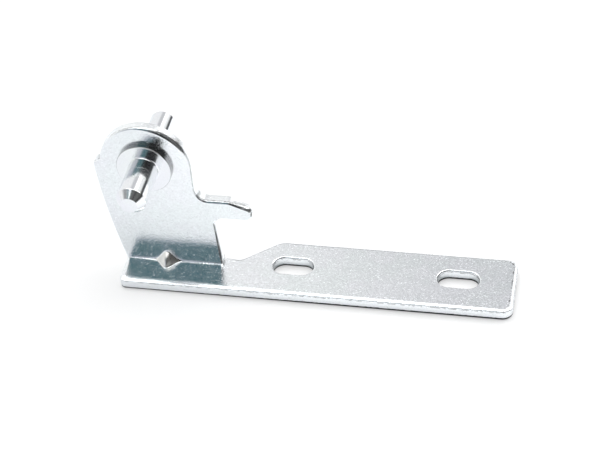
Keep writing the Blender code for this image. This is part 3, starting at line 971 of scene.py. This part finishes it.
def emboss(tree, shader, height, distance):
    """Gives the shader a fine relief."""
    bump = added(tree, "ShaderNodeBump", {"Strength": 1.0, "Distance": distance, "Height": height})
    link(tree, bump.outputs[0], shader.inputs["Normal"])


def sheet_spot(tree):
    """What the marks on the sheet are drawn from, at each place on it."""
    place = object_place(tree)
    x, y, z = axes(tree, place)
    down = axes(tree, added(tree, "ShaderNodeUVMap", uv_map="edge_map").outputs[0])[1]
    ragged = noise_value(tree, place, *RAGGED_NOISE)
    depth = total(tree, down, product(tree, maths(tree, "SUBTRACT", ragged, 0.5), RAGGEDNESS))
    return Spot(place, x, y, z, attribute(tree, "rim"), ragged, depth, ranged(tree, z, *EAR_RISE))


def burr_and_shadow_mask(tree, spot):
    """The dark burr round the plate's lower edge, with the contact shadow under it painted in, taller towards the
    free end.
    """
    taller = ranged(tree, spot.x, *BURR_SHADOW_ALONG, *BURR_SHADOW_GROWTH)
    burr = ranged(tree, total(tree, spot.depth, taller), *BURR_SHADOW_DEPTHS)
    return product(tree, burr, spot.rim, ranged(tree, spot.raised, 0.0, 1.0, 1.0, 0.0))


def seam_mask(tree, spot):
    """The broken dark line where the shear starts, with fewer gaps on the ear and towards the free end."""
    fuller = product(tree, total(tree, spot.raised, ranged(tree, spot.x, *SEAM_ALONG)), SEAM_FULLER)
    line = ranged(tree, total(tree, noise_value(tree, spot.place, *SEAM_NOISE), fuller), *SEAM_GAPS)
    return product(tree, window(tree, spot.depth, *SEAM_DEPTHS), line, spot.rim, SEAM_STRENGTH)


def relief_shade_mask(tree, spot):
    """Painted shade in the narrow relief at the ear's right foot."""
    across = window(tree, spot.x, EAR_RIGHT, EAR_RIGHT + RELIEF_WIDTH, RELIEF_SHADE_SOFTNESS)
    along = window(tree, spot.y, BEND_START - RELIEF_DEPTH, EAR_FACE + SHEET, RELIEF_SHADE_SOFTNESS)
    return product(tree, across, along, ranged(tree, spot.z, SHEET, SHEET + RELIEF_SHADE_FADE, RELIEF_SHADE_STRENGTH, 0.0))


def dots_mask(tree, spot):
    """The dark dots along the roll's crest at the free end."""
    dots = ranged(tree, noise_value(tree, spot.place, *DOTS_NOISE), *DOTS_GAPS)
    return product(tree, window(tree, spot.rim, *DOTS_RIM), ranged(tree, spot.x, *DOTS_ALONG), dots, DOTS_STRENGTH)


def slot_wall_shade_mask(tree, spot):
    """Painted shade on the lower part of the edges in line with the slots: the slots' walls and the free end's
    middle.
    """
    across = window(tree, spot.y, -SLOT_WIDTH / 2, SLOT_WIDTH / 2, SLOT_SHADE_ACROSS_SOFTNESS)
    along = window(tree, spot.x, -SLOT_SPACING, SLOT_SPACING, SLOT_SHADE_ALONG_SOFTNESS)
    on_plate = ranged(tree, spot.raised, 0.0, SLOT_SHADE_FADE, 1.0, 0.0)
    return product(tree, across, along, spot.rim, on_plate, ranged(tree, spot.depth, *SLOT_SHADE_DEPTHS))


def right_edge_darkening_mask(tree, spot):
    """A darker band along the ear's right edge, which reaches deeper on the finger's slope."""
    slope = product(tree, window(tree, spot.x, *DARKENING_SLOPE), ranged(tree, spot.z, *DARKENING_SLOPE_HEIGHTS))
    depth = maths(tree, "SUBTRACT", spot.depth, product(tree, slope, DARKENING_SLOPE_DEPTH))
    return product(tree, ranged(tree, spot.x, *DARKENING_ALONG), spot.raised, ranged(tree, spot.rim, *DARKENING_RIM),
                   ranged(tree, depth, *DARKENING_DEPTHS), ranged(tree, spot.ragged, *DARKENING_GAPS),
                   ranged(tree, spot.x, *DARKENING_AT_TIP), ranged(tree, spot.z, *DARKENING_UPWARDS))


def sheet_finish(grain, cloud):
    """Bright zinc on stamped sheet: speckled satin faces, duller sheared edges, the marks of the press, a darker
    band along the ear's right edge, and painted shade along the lower burr, in the relief and down the slots'
    walls.
    """
    material, tree, shader = new_metal("bright_zinc_on_sheet")
    crystals, clouds = plating(tree, grain, cloud, SHEET_CRYSTAL, SHEET_SPARKLE, SHEET_VIOLET, SHEET_TINT_STRENGTH)
    spot = sheet_spot(tree)
    scuffed = ranged(tree, attribute(tree, "dart"), *SCUFF_RANGE)
    # One dark colour for the burr with its painted contact shadow, the seam, the relief's painted shade and the
    # dots
    dark_marks_and_shade = burr_and_shadow_mask(tree, spot)
    for mask in (seam_mask, relief_shade_mask, dots_mask):
        dark_marks_and_shade = maths(tree, "MAXIMUM", dark_marks_and_shade, mask(tree, spot))
    colour = zinc_colour(tree, crystals["Speckle"], SHEET_TONES, SHEET_HUE, clouds["Tint"])
    # Over the zinc: the slots' painted wall shade, the ear's darker right edge, the scuffed dart, and the dark
    # marks with their painted shade
    for strength, mark in ((product(tree, spot.rim, EDGE_STRENGTH), EDGE_COLOUR),
                           (slot_wall_shade_mask(tree, spot), SLOT_SHADE_COLOUR), (right_edge_darkening_mask(tree, spot), DARKENING_COLOUR),
                           (product(tree, scuffed, SCUFF_STRENGTH), SCUFF_COLOUR), (dark_marks_and_shade, DARK_MARK_AND_SHADE_COLOUR)):
        colour = blended(tree, strength, colour, mark)
    link(tree, colour, shader.inputs["Base Color"])
    rough = total(tree, ranged(tree, crystals["Speckle"], 0.0, *SHEET_ROUGHNESS, smooth=False),
                  product(tree, clouds["Dullness"], DULL_ROUGHNESS),
                  product(tree, ranged(tree, spot.rim, *SHEARED_RIM), SHEARED_ROUGHNESS),
                  product(tree, scuffed, SCUFF_ROUGHNESS))
    link(tree, rough, shader.inputs["Roughness"])
    emboss(tree, shader, crystals["Height"], SHEET_BUMP)
    return material


def pin_finish(grain, cloud):
    """Bright zinc on turned steel: smoother than the sheet, with faint rings from the tool, and a dark flange side
    that is partly dirt and partly painted shade of its joint with the ear.
    """
    material, tree, shader = new_metal("bright_zinc_on_pin")
    crystals, clouds = plating(tree, grain, cloud, PIN_CRYSTAL, PIN_SPARKLE, PIN_VIOLET, PIN_TINT_STRENGTH)
    centred = added(tree, "ShaderNodeMapping",
                    {"Vector": object_place(tree), "Location": (-PIN_X, 0, -PIN_HEIGHT)})
    across, along, up = axes(tree, centred.outputs[0])
    out = maths(tree, "SQRT", total(tree, product(tree, across, across), product(tree, up, up)))
    side = product(tree, ranged(tree, out, *FLANGE_SIDE), FLANGE_SIDE_STRENGTH)
    colour = zinc_colour(tree, crystals["Speckle"], PIN_TONES, WHITE, clouds["Tint"])
    link(tree, blended(tree, side, colour, FLANGE_SIDE_DIRT_AND_SHADE_COLOUR), shader.inputs["Base Color"])
    rough = ranged(tree, crystals["Speckle"], 0.0, *PIN_ROUGHNESS, smooth=False)
    link(tree, rough, shader.inputs["Roughness"])
    brushed = product(tree, ranged(tree, along, *BRUSHED_ALONG), BRUSHED_STRENGTH)
    link(tree, brushed, shader.inputs["Anisotropic"])
    around = added(tree, "ShaderNodeTangent", direction_type="RADIAL", axis="Y")
    link(tree, around.outputs[0], shader.inputs["Tangent"])
    rings = added(tree, "ShaderNodeCombineXYZ", {0: along, 1: out})
    grooves = product(tree, noise_value(tree, rings.outputs[0], *RING_NOISE), RING_SHARE)
    emboss(tree, shader, total(tree, grooves, crystals["Height"]), PIN_BUMP)
    return material


def floor_finish():
    """A pale, matt floor, white to the camera where no shadow falls, with a painted shadow darkening its left side
    in reflections.
    """
    material = bpy.data.materials.new("pale_floor")
    material.use_nodes = True
    tree = material.node_tree
    shader = tree.nodes["Principled BSDF"]
    shader.inputs["Roughness"].default_value = FLOOR_ROUGHNESS
    shader.inputs["Specular IOR Level"].default_value = 0
    shader.inputs["Emission Color"].default_value = (*WHITE, 1)
    seen = camera_ray(tree)
    bounced = ranged(tree, axes(tree, object_place(tree))[0], *FLOOR_TURN)
    bounced = blended(tree, bounced, FLOOR_LEFT_SHADOW_COLOUR, FLOOR_COLOUR)
    link(tree, blended(tree, seen, bounced, FLOOR_SEEN_COLOUR), shader.inputs["Base Color"])
    link(tree, product(tree, seen, FLOOR_SEEN_GLOW), shader.inputs["Emission Strength"])
    return material


def make_floor():
    """The plain floor that the bracket lies on."""
    half = FLOOR_SIZE / 2
    corners = [(x, y, -FLOOR_DROP) for x, y in ((-half, -half), (half, -half), (half, half), (-half, half))]
    mesh = bpy.data.meshes.new("floor")
    mesh.from_pydata(corners, [], [(0, 1, 2, 3)])
    floor = placed("floor", mesh)
    mesh.materials.append(floor_finish())


def painted(tree, under, azimuth, height, patch):
    """The room with one patch over it."""
    (left, right, side_softness), (bottom, top, end_softness), colour = patch
    inside = product(tree, window(tree, azimuth, left, right, side_softness),
                     window(tree, height, bottom, top, end_softness))
    return blended(tree, inside, under, colour)


def make_world():
    """A pale room as the metal mirrors it: bright high up, grey at the back, dim on the camera's side."""
    world = bpy.data.worlds.new("pale_studio")
    bpy.context.scene.world = world
    world.use_nodes = True
    tree = world.node_tree
    background = tree.nodes["Background"]
    x, y, z = axes(tree, tree.nodes.new("ShaderNodeTexCoord").outputs["Generated"])
    from_back = maths(tree, "DEGREES", maths(tree, "ARCTAN2", x, y))
    from_front = maths(tree, "DEGREES", maths(tree, "ARCTAN2", x, product(tree, y, -1.0)))
    height = maths(tree, "DEGREES", maths(tree, "ARCSINE", z))

    room = ROOM_COLOUR
    for heights, colour in (CEILING, CEILING_MIDDLE):
        room = blended(tree, ranged(tree, height, *heights), room, colour)
    for patch in (BACK_WALL, POST, HORIZON, GAP_BEHIND):
        room = painted(tree, room, from_back, height, patch)
    room = painted(tree, room, from_front, height, SHADE_LEFT)
    dim = painted(tree, DIM_LEFT_COLOUR, from_front, height, LOW_LEFT)
    dim = blended(tree, ranged(tree, from_front, *DIM_TURN), dim, DIM_RIGHT_COLOUR)
    dim = painted(tree, dim, from_front, height, DIM_CORE)
    sloping = maths(tree, "SUBTRACT", height, ranged(tree, from_front, *DIM_RISE))
    room = painted(tree, room, from_front, sloping, (*DIM_SIDE, dim))
    room = painted(tree, room, from_front, height, SHADE_RIGHT)
    room = painted(tree, room, from_back, height, SOFT_BOX)
    link(tree, blended(tree, camera_ray(tree), room, WHITE), background.inputs["Color"])
    background.inputs["Strength"].default_value = 1.0


def make_lamp():
    """One soft lamp behind, to the right."""
    lamp = bpy.data.lights.new("soft_box", "AREA")
    lamp.shape = "SQUARE"
    lamp.size = LAMP_SIZE
    lamp.energy = LAMP_POWER
    thing = placed("soft_box", lamp)
    level = math.cos(LAMP_ELEVATION)
    way = Vector((math.sin(LAMP_AZIMUTH) * level, math.cos(LAMP_AZIMUTH) * level, math.sin(LAMP_ELEVATION)))
    thing.location = CAMERA_TARGET + way * LAMP_DISTANCE
    thing.rotation_euler = way.to_track_quat("Z", "Y").to_euler()


def make_camera():
    """The camera at the photograph's place, with its slight roll."""
    back = Vector((math.sin(CAMERA_AZIMUTH) * math.cos(CAMERA_ELEVATION),
                   -math.cos(CAMERA_AZIMUTH) * math.cos(CAMERA_ELEVATION),
                   math.sin(CAMERA_ELEVATION)))
    camera = bpy.data.cameras.new("camera")
    camera.sensor_width = SENSOR_WIDTH
    camera.lens = LENS
    camera.clip_start = NEAREST
    thing = placed("camera", camera)
    thing.location = CAMERA_TARGET + back * CAMERA_DISTANCE
    turned_round = back.to_track_quat("Z", "Y") @ Quaternion((0, 0, 1), CAMERA_ROLL)
    thing.rotation_euler = turned_round.to_euler()
    bpy.context.scene.camera = thing


def make_bracket(material):
    """The plated bracket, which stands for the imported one."""
    bracket = placed("plated_bracket", bracket_mesh())
    bracket.data.materials.append(material)
    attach(bracket, "root")
    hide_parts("bracket")


def make_pin(material):
    """The plated pin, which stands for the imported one, with its flange tight on the ear."""
    pin = turned("plated_pin", pin_section(), Vector((PIN_X, 0, PIN_HEIGHT)), material)
    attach(pin, "root")
    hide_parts("hinge_pin")


bpy.context.scene.view_settings.view_transform = "Standard"
make_camera()
make_world()
make_lamp()
make_floor()
speckled = plating_grain()
clouded = plating_cloud()
make_bracket(sheet_finish(speckled, clouded))
make_pin(pin_finish(speckled, clouded))
